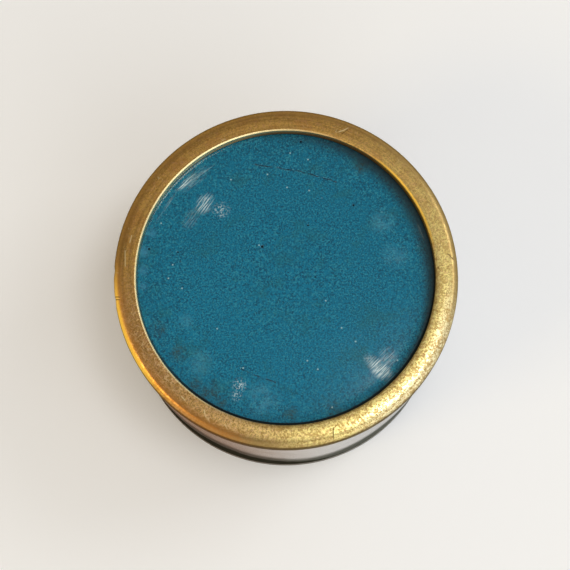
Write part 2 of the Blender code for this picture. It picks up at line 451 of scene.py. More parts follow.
def rim_brass():
    """Old turned brass: brown and mopped smooth at the back left, bright and pitted at the front right.
    That brown and brightness are partly patina and partly painted light: shade at the back left, light at the
    front right.

    Every mask that starts from towards() picks out one side of the rim, and every one that starts from radius
    picks out a band between the lip and the outer edge.
    """
    f = Finish("rim_brass")
    grain = f.noise(3.9, 2.5, 0.72)
    mottle = f.noise(0.8, 4.0, 0.6)
    fine_lines = f.turning_lines(7.0, 0.12)
    wide_lines = f.turning_lines(2.6, 0.05, 2.0)
    # painted light: how much of the lit yellow copy each colour takes, from the shaded back left to the lit
    # front right
    painted_lit_side = f.ramp(f.towards(-38), 0.25, 1.0)
    front_left = f.ramp(f.towards(224), 0.80, 1.0)
    rough_side = f.math("MAXIMUM", f.ramp(f.towards(-60), 0.20, 0.75, 0.35, 1.0), f.times(front_left, 0.85))
    smooth_side = f.inverse(rough_side)
    dark_curls = f.times(f.curls(2.2, 0.022, 1.0), rough_side)
    pale_curls = f.times(f.curls(1.6, 0.036, 1.0), front_left)
    bright_curls = f.times(f.curls(1.7, 0.010), f.ramp(mottle, 0.50, 0.60))

    # the metal, with its spots, rust, pink patches, turning lines, pits, curls and scratches; the metal,
    # spots and pink patches come in shaded and lit copies that paint the light, and a cream tint paints a
    # highlight at the front right
    spots = f.ramp(f.add(f.times(grain, 0.80), f.times(mottle, 0.35)), 0.49, 0.66)
    spots = f.times(spots, f.blend(rough_side, 0.58, 0.85))
    metal = f.mix(painted_lit_side, BRASS_SHADED_BROWN, BRASS_LIT_YELLOW)
    # painted highlight: a cream tint on the outer half of the rim at the front right, where the lamps are
    # mirrored
    cream_highlight = f.times(f.ramp(f.towards(-35), 0.90, 0.99), f.ramp(f.radius, LIP_RADIUS + 0.6, LIP_RADIUS + 1.5))
    metal = f.mix(f.times(cream_highlight, 0.65), metal, BRASS_HIGHLIGHT_CREAM)
    brown = f.mix(painted_lit_side, SPOT_SHADED_BROWN, SPOT_LIT_YELLOW)
    metal = f.mix(f.times(front_left, 0.55), metal, BRASS_COPPERY)
    colour = f.mix(spots, metal, brown)
    rust = f.times(f.ramp(f.noise(0.5, 3.0, 0.6), 0.50, 0.64), smooth_side, 0.6)
    colour = f.mix(rust, colour, RUST)
    pink = f.ramp(f.noise(2.3, 2.0, 0.6), 0.50, 0.66, 0.0, f.blend(front_left, 0.40, 0.70))
    colour = f.mix(pink, colour, f.mix(painted_lit_side, PINK_SHADED_BROWN, PINK_LIT_YELLOW))
    strokes = f.add(f.times(fine_lines, 0.55), f.times(wide_lines, 0.45))
    strokes_low = f.blend(smooth_side, 0.92, 0.68)
    strokes_high = f.blend(smooth_side, 1.07, 1.28)
    colour = f.shade(colour, f.ramp(strokes, 0.36, 0.64, strokes_low, strokes_high))
    pits = f.times(f.ramp(f.noise(7.5, 1.0, 0.5), 0.58, 0.66), f.blend(rough_side, 0.40, 1.0))
    colour = f.mix(f.times(pits, 0.60), colour, PIT)
    colour = f.mix(f.times(dark_curls, f.blend(front_left, 0.45, 0.75)), colour, CURL_DARK)
    colour = f.mix(f.times(pale_curls, 0.55), colour, CURL_PALE)
    scratches = brass_marks(f, FRESH_SCRATCHES, SCRATCH_WIDTH)
    fresh = f.strongest([f.times(bright_curls, 0.45), f.times(scratches, 0.75)])
    colour = f.mix(fresh, colour, FRESH_METAL)

    # the lip: wear and a painted highlight on its bevel at the back left, which faces the lights, a painted
    # amber glint at the right and painted shade at the front right
    lip = f.ramp(f.radius, LIP_RADIUS + 0.20, LIP_RADIUS + 0.10)
    # painted highlight, with some wear: the lip's bevel turns pale where it faces the lights
    lip_wear_and_highlight = f.times(lip, f.ramp(f.towards(165), 0.35, 0.80))
    colour = f.mix(f.times(lip_wear_and_highlight, 0.85), colour, LIP_WEAR_AND_HIGHLIGHT)
    # painted reflection: an amber glint on the lip at the right, where its inner side catches the light
    lip_glint = f.ramp(f.radius, LIP_RADIUS + 0.34, LIP_RADIUS + 0.14)
    lip_glint = f.times(lip_glint, f.ramp(f.towards(32), 0.955, 0.995))
    colour = f.mix(f.times(lip_glint, 0.80), colour, GLINT_AMBER)
    lip_side = f.ramp(f.radius, LIP_RADIUS + 0.65, LIP_RADIUS + 0.10)
    # painted shade: the lip's bevel darkens at the front right, where it faces away from the lights
    lip_shade = f.times(lip_side, f.ramp(f.towards(-55), 0.50, 0.90), 0.6)

    # the shoulder and the outer edge: painted shade on the shoulder, a painted gold glint and a painted warm
    # reflection at the front left, rust at the front left, and painted shade on the side face and along the
    # front edge
    shoulder = f.ramp(f.radius, RIM_RADIUS - 1.20, RIM_RADIUS - 0.40)
    edge = f.ramp(f.radius, RIM_RADIUS - 0.65, RIM_RADIUS - 0.30)
    # painted shade: the shoulder darkened to a tarnish colour, less at the front right and not at all at the
    # front left
    shoulder_shade = f.times(shoulder, f.ramp(f.towards(210), 0.990, 0.92))
    shoulder_shade = f.times(shoulder_shade, f.ramp(f.towards(-52), 0.95, 0.84, 0.10, 1.0))
    tarnish_and_shade = f.mix(painted_lit_side, TARNISH_AND_SHADE_BROWN, TARNISH_AND_SHADE_YELLOW)
    colour = f.mix(f.times(shoulder_shade, 0.80), colour, tarnish_and_shade)
    # painted highlight: a gold glint on the outer rounding at the front left, where the warm lamp is mirrored
    edge_glint = f.times(edge, f.ramp(f.towards(205), 0.93, 0.990))
    colour = f.mix(edge_glint, colour, GLINT_GOLD)
    # painted reflection: a warm orange tint on the outer band at the front left, around the gold glint
    warm_edge_reflection = f.ramp(f.radius, RIM_RADIUS - 1.6, RIM_RADIUS - 0.5)
    warm_edge_reflection = f.times(warm_edge_reflection, f.ramp(f.towards(214), 0.86, 0.98))
    colour = f.mix(f.times(warm_edge_reflection, f.inverse(edge_glint), 0.5), colour, WARM_REFLECTION_ORANGE)
    rust_edge = f.ramp(f.radius, RIM_RADIUS - 1.5, RIM_RADIUS - 0.5)
    rust_edge = f.times(rust_edge, f.ramp(f.towards(236), 0.955, 0.99))
    rust_edge = f.times(rust_edge, f.ramp(grain, 0.40, 0.60, 0.35, 0.80))
    colour = f.mix(rust_edge, colour, EDGE_RUST)
    # painted shade: the side face reflects darkly at a glance, all round but on the lit right
    side = f.ramp(f.radius, RIM_RADIUS - 0.30, RIM_RADIUS - 0.08)
    side = f.times(side, f.ramp(f.z, RIM_TOP - 0.70, RIM_TOP - 1.0))
    side = f.times(side, f.ramp(f.towards(8), 0.98, 0.80))
    # painted shade: a dark outline along the outer edge at the front
    outline = f.ramp(f.radius, RIM_RADIUS - 0.16, RIM_RADIUS - 0.04)
    outline = f.times(outline, f.ramp(f.towards(262), 0.40, 0.75))

    # grime in the hollows and the cuts, and painted shade on the inner wall that faces away from the light,
    # on the lip at the front right, along the outer edge at the front and underneath, above the seam with the
    # base
    wall_facing_light = f.ramp(f.towards(200), 0.35, 0.75)
    # painted shade on the inner wall where it faces away from the light
    inner_wall = f.ramp(f.radius, LIP_RADIUS + 0.06, LIP_RADIUS + 0.02)
    inner_wall = f.times(inner_wall, f.ramp(f.z, RIM_TOP - 0.35, RIM_TOP - 0.75))
    inner_wall = f.times(inner_wall, f.inverse(wall_facing_light))
    corners = f.ramp(f.attribute("hollow"), 0.2, 0.8)
    cuts = f.times(brass_marks(f, DARK_CUTS, CUT_WIDTH), 0.85)
    # painted shadow: a dark band at the foot of the rim, above the seam with the base
    seam_shadow = f.ramp(f.z, RIM_FOOT + 0.90, RIM_FOOT + 0.30)
    # real grime and painted shade in one mask
    grime_and_shade = f.strongest([corners, inner_wall, lip_shade, cuts, f.times(outline, 0.80), seam_shadow])
    colour = f.mix(f.times(grime_and_shade, 0.92), colour, GRIME_AND_SHADE)

    roughness = f.add(f.blend(spots, 0.28, 0.38), f.times(smooth_side, 0.06), f.times(lip_wear_and_highlight, -0.05))
    relief = f.add(f.times(grain, rough_side, 0.005), f.times(pits, -0.004), f.times(strokes, 0.009))
    relief = f.bump(relief, 1.0)
    # painted shade: reflections turn dark at a glance on the side face, the shoulder and in the grime and
    # shade
    dim_at_a_glance = f.strongest([side, grime_and_shade, f.times(shoulder_shade, 0.7)])
    glance = f.mix(dim_at_a_glance, WHITE, BLACK)
    return f.finish(colour, roughness, f.inverse(f.times(grime_and_shade, 0.8)), relief, glance, gloss=0.0)


ENAMEL_DEEP = (0.0010, 0.127, 0.222)
ENAMEL_LIGHT = (0.0038, 0.178, 0.312)
ENAMEL_SPECKLE = (0.0015, 0.044, 0.092)
ENAMEL_DUST = (0.030, 0.270, 0.365)
ENAMEL_STAIN = (0.012, 0.110, 0.120)
HAZE_TONE = (0.08, 0.34, 0.47)
SKY_REFLECTION_BLUE = (0.06, 0.27, 0.44)
SMUDGE_TONE = (0.030, 0.056, 0.050)
RUBBED_GLASS_HIGHLIGHT = (0.58, 0.74, 0.78)
CHIPPED_GLASS = (0.42, 0.66, 0.70)
HOLE_TONE = (0.002, 0.010, 0.018)
EDGE_DIRT_AND_SHADE = (0.010, 0.012, 0.010)

# Marks on the enamel: places and sizes in rim radii, x across and y away from the front
PINHOLES = (  # place, radius in millimetres
    (-0.138, 0.183, 0.21),
    (0.094, 0.82, 0.17),
    (-0.80, 0.176, 0.17),
    (0.40, 0.43, 0.15),
    (0.17, 0.00, 0.12),
    (-0.63, 0.155, 0.13),
    (0.13, 0.31, 0.13),
)
CHIPS = (
    (-0.156, 0.192), (0.03, 0.75), (0.135, 0.71), (-0.105, 0.62), (-0.32, 0.59), (0.01, 0.54), (0.14, 0.52),
    (-0.73, 0.33), (-0.66, 0.08), (-0.685, 0.0), (-0.605, -0.06), (0.32, -0.30), (0.23, -0.14), (0.40, -0.38),
    (0.12, -0.49), (0.18, -0.54), (0.64, -0.49), (0.26, -0.76), (-0.25, -0.53), (-0.40, -0.30),
)
CHIP_RADIUS = 0.12  # in millimetres
# The rubbed patches below are real scuffs made pale by a painted highlight of the lamps in their scratches
STREAKED_HIGHLIGHTS = (  # place, half-length along and across the rubbing, direction in degrees, strength
    (-0.475, 0.445, 0.075, 0.055, 54, 0.75),
    (-0.550, 0.36, 0.085, 0.050, 54, 0.14),
    (0.510, -0.515, 0.045, 0.085, 45, 0.35),
    (0.540, -0.540, 0.055, 0.090, 45, 1.0),
    (0.585, -0.470, 0.060, 0.060, 45, 0.30),
    (-0.583, 0.578, 0.090, 0.020, 42, 0.95),
    (-0.540, 0.595, 0.120, 0.045, 42, 0.22),
    (-0.500, 0.625, 0.130, 0.008, 36, 0.30),
    (-0.700, 0.43, 0.150, 0.012, 58, 0.16),
    (0.790, 0.27, 0.060, 0.010, -66, 0.45),
)
# More rubbed patches, pale with a painted highlight, broken up into dots
MOTTLED_HIGHLIGHTS = (  # place, radius, strength
    (-0.378, 0.404, 0.050, 0.60),
    (-0.272, -0.63, 0.040, 0.70),
    (-0.290, -0.69, 0.034, 0.55),
    (0.470, -0.48, 0.030, 0.30),
)
HAZES = (
    (-0.14, -0.71, 0.10), (0.57, 0.33, 0.08), (0.64, 0.13, 0.08), (-0.585, -0.255, 0.05),
    (-0.50, -0.50, 0.08),
)
SMUDGES = (
    (-0.45, -0.675, 0.07), (-0.52, -0.62, 0.05), (-0.38, -0.72, 0.05), (0.27, -0.775, 0.06),
    (0.02, -0.80, 0.05), (-0.62, -0.44, 0.05), (0.45, 0.66, 0.05), (-0.74, -0.30, 0.05),
)
# A painted reflection of the sky, in spots along the glass's left edge
SKY_REFLECTION_SPOTS = (
    (-0.825, 0.16, 0.035), (-0.835, 0.05, 0.035), (-0.83, -0.04, 0.03), (-0.79, 0.27, 0.035),
)
HAIRLINES = (
    ((-0.18, 0.675), (-0.025, 0.655), (0.135, 0.625), (0.30, 0.57)),
    ((-0.26, -0.53), (-0.19, -0.567), (-0.125, -0.595), (-0.065, -0.616)),
)
HAIR_WIDTH = 0.090  # in millimetres
SCRATCHES_ACROSS = 8.0  # waves per millimetre across the fine scratches of a rubbed patch
SCRATCHES_ALONG = 0.7


def streaks(f, mark):
    """A rubbed patch, the mask of a painted highlight: fine parallel scratches that fade out to an oval edge.
    """
    x, y, length, width, direction, strength = mark
    turn = radians(direction)
    from_x = f.math("SUBTRACT", f.x, x * RIM_RADIUS)
    from_y = f.math("SUBTRACT", f.y, y * RIM_RADIUS)
    along = f.add(f.times(from_x, cos(turn)), f.times(from_y, sin(turn)))
    across = f.add(f.times(from_x, -sin(turn)), f.times(from_y, cos(turn)))
    share_along = f.times(along, 1 / (length * RIM_RADIUS))
    share_across = f.times(across, 1 / (width * RIM_RADIUS))
    oval = f.ramp(f.vector("LENGTH", f.combine(share_along, share_across, 0.0)), 1.15, 0.25)
    place = f.combine(f.times(along, SCRATCHES_ALONG), f.times(across, SCRATCHES_ACROSS), direction)
    lines = f.noise(1.0, 2.0, 0.6, place)
    return f.times(oval, f.ramp(lines, 0.45, 0.60, 0.06, 1.0), strength)


def spot(f, x, y, outer, inner):
    """A round spot at a place in rim radii; it fades in from its outer to its inner radius, in mm."""
    return f.ramp(f.distance_to(x * RIM_RADIUS, y * RIM_RADIUS), outer, inner)


def mottled(f, mark):
    """A rubbed patch broken up into dots, the mask of a painted highlight."""
    x, y, size, strength = mark
    patch = spot(f, x, y, size * RIM_RADIUS * 1.3, size * RIM_RADIUS * 0.3)
    return f.times(patch, f.ramp(f.noise(5.0, 2.0, 0.6), 0.48, 0.66), strength)


def soft_spots(f, marks, strength):
    """Cloudy spots with ragged, faded edges."""
    spots = [spot(f, x, y, size * RIM_RADIUS * 1.4, size * RIM_RADIUS * 0.1) for x, y, size in marks]
    return f.times(f.strongest(spots), f.ramp(f.noise(0.9, 4.0, 0.65), 0.38, 0.62, 0.25, 1.0), strength)


def round_dots(f, dots):
    """Small crisp dots, each with its place in rim radii and its own radius in millimetres."""
    return f.strongest([spot(f, x, y, size, size * 0.45) for x, y, size in dots])


def hair_scratches(f):
    """Thin crazing lines that wander a little."""
    sway = f.times(f.minus(f.noise(0.9, 2.0, 0.5), 0.5), 0.5)
    place = f.combine(f.add(f.x, sway), f.add(f.y, sway), 0.0)
    lines = []
    for path in HAIRLINES:
        points = [(x * RIM_RADIUS, y * RIM_RADIUS) for x, y in path]
        lines += [f.line(start, end, HAIR_WIDTH, place) for start, end in zip(points, points[1:])]
    return f.times(f.strongest(lines), f.ramp(f.noise(1.1, 2.0, 0.5), 0.35, 0.55, 0.15, 1.0))


def scattered_dots(f, scale, share, size):
    """Dots in a share of the cells of a random pattern, at most size of a cell wide."""
    distance, value = f.cells(scale)
    return f.times(f.ramp(distance, size, size * 0.5), f.math("LESS_THAN", value, share))


def teal_enamel():
    """Glossy opaque glass with fine speckle and a few rubbed patches, pinholes and hair scratches; painted
    highlights light the rubbed patches, a painted sky reflection lies along the left edge and painted shade
    against the lip.
    """
    f = Finish("teal_enamel")
    cloud = f.noise(0.16, 3.0, 0.5)
    speckle = f.noise(4.9, 2.0, 0.75)
    dust = f.noise(5.4, 1.0, 0.5)
    patchy = f.ramp(f.noise(0.4, 2.0, 0.5), 0.35, 0.62, 0.78, 1.0)
    tone = f.add(f.times(cloud, 0.6), f.ramp(f.y, 14.0, -14.0, 0.0, 0.4))
    colour = f.mix(tone, ENAMEL_DEEP, ENAMEL_LIGHT)
    colour = f.mix(f.times(f.ramp(speckle, 0.46, 0.60), patchy, 0.80), colour, ENAMEL_SPECKLE)
    colour = f.mix(f.times(f.ramp(dust, 0.52, 0.66), patchy, 0.62), colour, ENAMEL_DUST)
    stain = f.ramp(f.noise(0.30, 4.0, 0.65), 0.52, 0.66, 0.0, 0.30)
    colour = f.mix(stain, colour, ENAMEL_STAIN)
    hazes = soft_spots(f, HAZES, 0.26)
    sky_reflection = soft_spots(f, SKY_REFLECTION_SPOTS, 0.50)
    smudges = soft_spots(f, SMUDGES, 0.80)
    rubbed = f.strongest([streaks(f, mark) for mark in STREAKED_HIGHLIGHTS] + [mottled(f, mark) for mark in MOTTLED_HIGHLIGHTS])
    fine_chips = f.times(scattered_dots(f, 0.75, 0.12, 0.06), 0.5)
    fine_holes = f.times(scattered_dots(f, 1.1, 0.14, 0.09), 0.5)
    chips = f.math("MAXIMUM", round_dots(f, [(x, y, CHIP_RADIUS) for x, y in CHIPS]), fine_chips)
    holes = f.math("MAXIMUM", round_dots(f, PINHOLES), fine_holes)
    hairs = hair_scratches(f)
    colour = f.mix(hazes, colour, HAZE_TONE)
    # painted reflection: the sky mirrored in the glass along its left edge
    colour = f.mix(sky_reflection, colour, SKY_REFLECTION_BLUE)
    colour = f.mix(f.times(smudges, f.ramp(speckle, 0.36, 0.56, 0.6, 1.0)), colour, SMUDGE_TONE)
    # painted highlight: the rubbed patches turn pale where their scratches catch the lamps
    colour = f.mix(rubbed, colour, RUBBED_GLASS_HIGHLIGHT)
    colour = f.mix(f.times(chips, 0.6), colour, CHIPPED_GLASS)
    colour = f.mix(f.strongest([f.times(holes, 0.95), f.times(hairs, 0.85)]), colour, HOLE_TONE)

    # dirt and painted shade against the lip: a thin dark line all round, and a painted shadow of the rim's
    # wall, wider at the back right
    front_reach = f.ramp(f.towards(-85), 0.40, 1.0, 0.0, 0.30)
    edge_line = f.ramp(f.add(f.radius, front_reach), LIP_RADIUS - 0.12, LIP_RADIUS - 0.04)
    shade_width = f.ramp(f.towards(42), 0.70, 0.98, 1.1, 2.1)
    # painted shadow: the rim's wall shades the glass on the right, widest at the back right
    edge_shade = f.ramp(f.radius, f.minus(LIP_RADIUS, shade_width), LIP_RADIUS - 0.1)
    edge_shade = f.times(edge_shade, f.ramp(f.towards(10), 0.45, 0.92))
    edge_line = f.times(edge_line, f.ramp(f.towards(-30), 0.05, 0.50, 0.50, 0.96))
    # dirt and painted shade in one mask
    dirt_and_shade = f.math("MAXIMUM", edge_line, f.times(edge_shade, 0.84))
    colour = f.mix(dirt_and_shade, colour, EDGE_DIRT_AND_SHADE)

    roughness = f.add(0.12, f.times(rubbed, 0.35), f.times(dirt_and_shade, 0.25), f.times(hazes, 0.5))
    relief = f.bump(f.noise(0.5, 2.0, 0.5), 0.006)
    relief = f.bump(f.inverse(f.math("MAXIMUM", holes, f.times(hairs, 0.5))), 0.05, relief)
    relief = f.bump(speckle, 0.002, relief)
    matt = f.strongest([edge_line, holes, f.times(edge_shade, 0.6)])
    return f.finish(colour, roughness, 0.0, relief, gloss=f.blend(matt, PLAIN_GLOSS, 0.0))


SILVER = (0.68, 0.65, 0.62)
SILVER_SHADED_WARM = (0.52, 0.41, 0.33)
PATINA = (0.38, 0.30, 0.20)
# Tarnish and painted shade for the low band, and dirt and painted shade for the foot
TARNISH_AND_SHADE_GREEN = (0.17, 0.19, 0.145)
TARNISH_AND_SHADE_RED = (0.165, 0.120, 0.085)
DIRT_AND_SHADE_BLACK = (0.006, 0.006, 0.003)
DIRT_AND_SHADE_BROWN = (0.036, 0.032, 0.020)
DIRT_AND_SHADE_GREEN = (0.078, 0.092, 0.070)
GLANCE_COOL = (0.94, 0.98, 1.0)
GLANCE_GREY = (0.74, 0.77, 0.79)
GLANCE_WARM_REFLECTION = (0.38, 0.17, 0.06)


def silver_plate():
    """Worn silver plate under a thin film of tarnish and dirt that thickens towards the foot and the left;
    the film is partly painted shade, the shadowed ground by the foot as the wall mirrors it, heaviest on the
    left, away from the light.
    """
    f = Finish("silver_plate")
    lines = f.turning_lines(5.0, 0.12)
    blotch = f.noise(0.22, 4.0, 0.6)
    fine = f.noise(1.4, 4.0, 0.6)
    left = f.towards(200)
    right = f.ramp(f.towards(0), 0.50, 0.85)
    # painted shade with some tarnish: a dark band low on the wall, tallest on the left, away from the light
    shore = f.add(f.ramp(left, 0.40, 0.92, 3.0, 12.0), f.times(right, 7.0), f.times(blotch, 2.0))
    low = f.ramp(f.minus(f.z, shore), 3.5, -3.0)
    tarnish_and_shade_share = f.film(f.times(low, 0.16))
    ragged = f.add(f.z, f.times(fine, 2.0), f.times(blotch, 3.0), -2.5)
    # dirt at the foot with painted shade: a ragged dark band, taller on the left
    dirt_and_shade = f.ramp(f.minus(ragged, f.ramp(left, 0.40, 0.92, 2.0, 9.0)), 1.5, -1.5)
    dirt_and_shade_share = f.film(f.times(dirt_and_shade, f.blend(fine, 0.45, 0.20)))
    patina = f.ramp(f.add(f.times(blotch, 0.7), f.times(fine, 0.3)), 0.45, 0.75)

    metal = f.shade(SILVER, f.ramp(lines, 0.2, 0.8, 0.88, 1.06))
    # painted shade and a painted warm reflection: the silver turns a darker warm brown on the left, away from
    # the light
    metal = f.mix(f.times(left, 0.7), metal, SILVER_SHADED_WARM)
    colour = f.mix(f.times(patina, 0.35), metal, PATINA)
    tarnish_and_shade = f.mix(f.ramp(left, 0.55, 0.85), TARNISH_AND_SHADE_GREEN, TARNISH_AND_SHADE_RED)
    colour = f.mix(f.times(tarnish_and_shade_share, 0.85), colour, tarnish_and_shade)
    brown_dirt_and_shade = f.mix(fine, DIRT_AND_SHADE_BLACK, DIRT_AND_SHADE_BROWN)
    colour = f.mix(dirt_and_shade_share, colour, f.mix(f.times(right, 0.8), brown_dirt_and_shade, DIRT_AND_SHADE_GREEN))
    glance = f.mix(right, GLANCE_COOL, GLANCE_GREY)
    # painted reflection: a coppery tint to the glancing reflections on the left
    glance = f.mix(f.ramp(left, 0.50, 0.98), glance, GLANCE_WARM_REFLECTION)
    # painted shade: the low band's reflections fade to black
    glance = f.mix(low, glance, BLACK)
    roughness = f.add(0.22, f.times(low, 0.20), f.times(patina, 0.08))
    bare = f.inverse(f.times(dirt_and_shade_share, 0.96))
    return f.finish(colour, roughness, bare, f.bump(lines, 0.004), glance, gloss=0.0)


def gilt_brass():
    """Thin gilding over brass, polished and lightly rubbed."""
    f = Finish("gilt_brass")
    lines = f.turning_lines(4.0, 0.15)
    wear = f.noise(0.3, 4.0, 0.6)
    colour = f.mix(f.ramp(wear, 0.45, 0.75), (0.88, 0.70, 0.38), (0.66, 0.48, 0.24))
    colour = f.shade(colour, f.ramp(lines, 0.2, 0.8, 0.90, 1.05))
    return f.finish(colour, f.blend(wear, 0.20, 0.36), 1.0, f.bump(lines, 0.004))


def spring_bronze():
    """Drawn bronze wire with brown stains."""
    f = Finish("spring_bronze")
    lines = f.turning_lines(8.0, 0.1)
    stain = f.noise(0.6, 4.0, 0.6)
    colour = f.mix(f.ramp(stain, 0.4, 0.7), (0.62, 0.37, 0.16), (0.36, 0.19, 0.08))
    return f.finish(colour, f.blend(stain, 0.28, 0.42), 1.0, f.bump(lines, 0.006))


def bare_copper():
    """Copper sheet, stained by firing."""
    f = Finish("plaque_copper")
    stain = f.noise(0.5, 4.0, 0.6)
    colour = f.mix(f.ramp(stain, 0.4, 0.7), (0.78, 0.36, 0.22), (0.40, 0.16, 0.09))
    return f.finish(colour, f.blend(stain, 0.30, 0.50), 1.0, f.bump(stain, 0.01))


def dark_enamel():
    """The plain, uneven enamel on the plaque's back."""
    f = Finish("counter_enamel")
    mottle = f.noise(1.2, 4.0, 0.6)
    colour = f.mix(mottle, (0.012, 0.020, 0.028), (0.045, 0.060, 0.070))
    return f.finish(colour, 0.25, 0.0, f.bump(mottle, 0.02))


def pressed_cork():
    """Cork grains of differing tone, pressed into a sheet."""
    f = Finish("cork_packing")
    distance, tone = f.cells(1.6)
    fine = f.noise(6.0, 3.0, 0.6)
    colour = f.mix(tone, (0.48, 0.29, 0.15), (0.26, 0.14, 0.07))
    colour = f.shade(colour, f.ramp(fine, 0.2, 0.8, 0.75, 1.15))
    return f.finish(colour, 0.9, 0.0, f.bump(distance, 0.08))


def pale_floor():
    """A matt, nearly white surface."""
    f = Finish("pale_floor")
    tone = f.noise(0.02, 3.0, 0.5)
    return f.finish(f.mix(tone, (0.895, 0.93, 0.965), (0.925, 0.96, 0.99)), 0.7)


# ------------ pieces

# The outer radius, foot and top of each CAD node that is drawn again here
RIM_RADIUS, SPIGOT_FOOT, RIM_TOP = extent("lid_rim")
WALL_RADIUS, WALL_FOOT, WALL_TOP = extent("body_wall")
MOUTH_RADIUS, MOUTH_FOOT, MOUTH_TOP = extent("mouth_ring")
LINER_RADIUS, LINER_FOOT, LINER_TOP = extent("liner_cup")
FOOT_RADIUS, FOOT_BOTTOM, FOOT_TOP = extent("foot_ring")
PLATE_RADIUS, PLATE_FOOT, PLATE_TOP = extent("base_plate")
ENAMEL_RADIUS, ENAMEL_FOOT, ENAMEL_TOP = extent("enamel_face")
BACK_RADIUS, BACK_FOOT, BACK_TOP = extent("lid_backplate")
KEEPER_RADIUS, KEEPER_FOOT, KEEPER_TOP = extent("retaining_ring")
GRIP_RADIUS, GRIP_FOOT, GRIP_TOP = extent("grip_ring")

# Sizes are in millimetres
SEAM_GAP = 0.05
PLAIN_STEP = 0.9  # longest step along a plain outline
FINE_STEP = 0.35  # the same where the outline has small features
BEAD_STEP = 0.3
RIM_FOOT = MOUTH_TOP + SEAM_GAP
RIM_CREST_RADIUS = 17.1
RIM_CROWN_BEND = 10.0  # radius of the arc across the rim's top
RIM_CROWN_STEPS = 10
RIM_EDGE_ROUND = 0.80
RIM_WANDER = 0.012  # how far the rim's outside strays from round
FLANGE_START_RADIUS = 17.5  # the rim's uneven outside begins here and is whole 1 mm further out
LIP_RADIUS = 16.5
LIP_BEVEL = 0.14
LIP_FOOT = ENAMEL_FOOT + 0.65  # just clear of the glass below it
SPIGOT_RADIUS = 17.75
SPIGOT_BORE = 17.0
ENAMEL_RIM_RISE = 0.60  # thickness of the glass where it meets the rim
ENAMEL_STEPS = 40
ENAMEL_WAVE = 0.012  # height of the fired surface's slight waves
ENAMEL_WAVES_PER_MM = 0.22
CREEP_START = 15.3  # radius from which the glass creeps up towards the lip
CREEP_END = 16.4
CREEP_RISE = 0.09
WALL_THICKNESS = 0.5
MOUTH_BORE = 17.9
FOOT_BORE = 17.4
RECESS_DEPTH = 0.12  # how far the middle of the base plate's underside lies above its edge
LINER_THICKNESS = 0.3
LINER_FLOOR = 0.4
KEEPER_BORE = 16.2
KEEPER_GAP_START = radians(-20)  # each spring ring's gap runs from its start to azimuth 0
KEEPER_GROOVE_RADIUS = 17.2
GRIP_BORE = 17.35
GRIP_GAP_START = radians(-15)
GRIP_GROOVE_RADIUS = 17.3
SPRING_ROUND = 0.12
NICKS = ((178.0, 0.10), (188.0, 0.07))  # azimuth in degrees and depth
NICK_HALF_WIDTH = 0.35


def rim_top_height(r):
    """Height of the rim's arched top at a radius."""
    return RIM_TOP - (r - RIM_CREST_RADIUS) ** 2 / (2 * RIM_CROWN_BEND)


def rim_corner_height():
    """Where the top's slope, carried on past the shoulder, meets the outer side."""
    shoulder = RIM_RADIUS - RIM_EDGE_ROUND
    slope = (shoulder - RIM_CREST_RADIUS) / RIM_CROWN_BEND
    return rim_top_height(shoulder) - slope * RIM_EDGE_ROUND


def rim_top_points():
    """The rim's gently arched top, from its outer to its inner edge."""
    outer, inner = RIM_RADIUS - RIM_EDGE_ROUND, LIP_RADIUS + LIP_BEVEL
    radii = [outer + (inner - outer) * step / RIM_CROWN_STEPS for step in range(1, RIM_CROWN_STEPS)]
    return [(r, rim_top_height(r), 0) for r in radii]


def rim_shape(r, z, angle):
    """Hand-finished roundness, and two small nicks in the outer edge."""
    on_flange = max(0.0, min(1.0, (z - RIM_FOOT) / 0.5)) * max(0.0, min(1.0, r - FLANGE_START_RADIUS))
    wander = RIM_WANDER * noise.noise(Vector((cos(angle) * 3, sin(angle) * 3, 0.0)))
    r += on_flange * (wander - RIM_WANDER)
    for azimuth, depth in NICKS:
        off = (angle - radians(azimuth)) * RIM_RADIUS / NICK_HALF_WIDTH
        r -= on_flange * depth * max(0.0, 1 - off * off)
    return r, z


def build_rim(finish):
    """The turned rim and its spigot, with the lip and the grooves of the keeper and the grip ring."""
    corners = [
        (SPIGOT_RADIUS, RIM_FOOT, 0.05),
        (RIM_RADIUS, RIM_FOOT, 0.12),
        (RIM_RADIUS, rim_corner_height(), RIM_EDGE_ROUND - 0.02),
        *rim_top_points(),
        (LIP_RADIUS + LIP_BEVEL, RIM_TOP, 0.06),
        (LIP_RADIUS, RIM_TOP - LIP_BEVEL, 0.06),
        (LIP_RADIUS, LIP_FOOT, 0.05),
        (SPIGOT_BORE, LIP_FOOT, 0.03),
        (SPIGOT_BORE, KEEPER_TOP + SEAM_GAP, 0.03),
        (KEEPER_GROOVE_RADIUS, KEEPER_TOP + SEAM_GAP, 0.03),
        (KEEPER_GROOVE_RADIUS, KEEPER_FOOT - SEAM_GAP, 0.03),
        (SPIGOT_BORE, KEEPER_FOOT - SEAM_GAP, 0.03),
        (SPIGOT_BORE, SPIGOT_FOOT, 0.10),
        (SPIGOT_RADIUS, SPIGOT_FOOT, 0.20),
        (SPIGOT_RADIUS, GRIP_FOOT - 2 * SEAM_GAP, 0.04),
        (GRIP_GROOVE_RADIUS, GRIP_FOOT - 2 * SEAM_GAP, 0.04),
        (GRIP_GROOVE_RADIUS, GRIP_TOP + 2 * SEAM_GAP, 0.04),
        (SPIGOT_RADIUS, GRIP_TOP + 2 * SEAM_GAP, 0.04),
    ]
    mesh = turned_mesh("rim_turned", subdivided(rounded(corners), FINE_STEP), rim_shape)
    add_piece(mesh, finish, "lid", "lid_rim")


def solid_section(corners):
    """The outline of a piece that is solid on its axis, from the axis out and back to it."""
    return subdivided(rounded(corners, closed=False), PLAIN_STEP, closed=False)


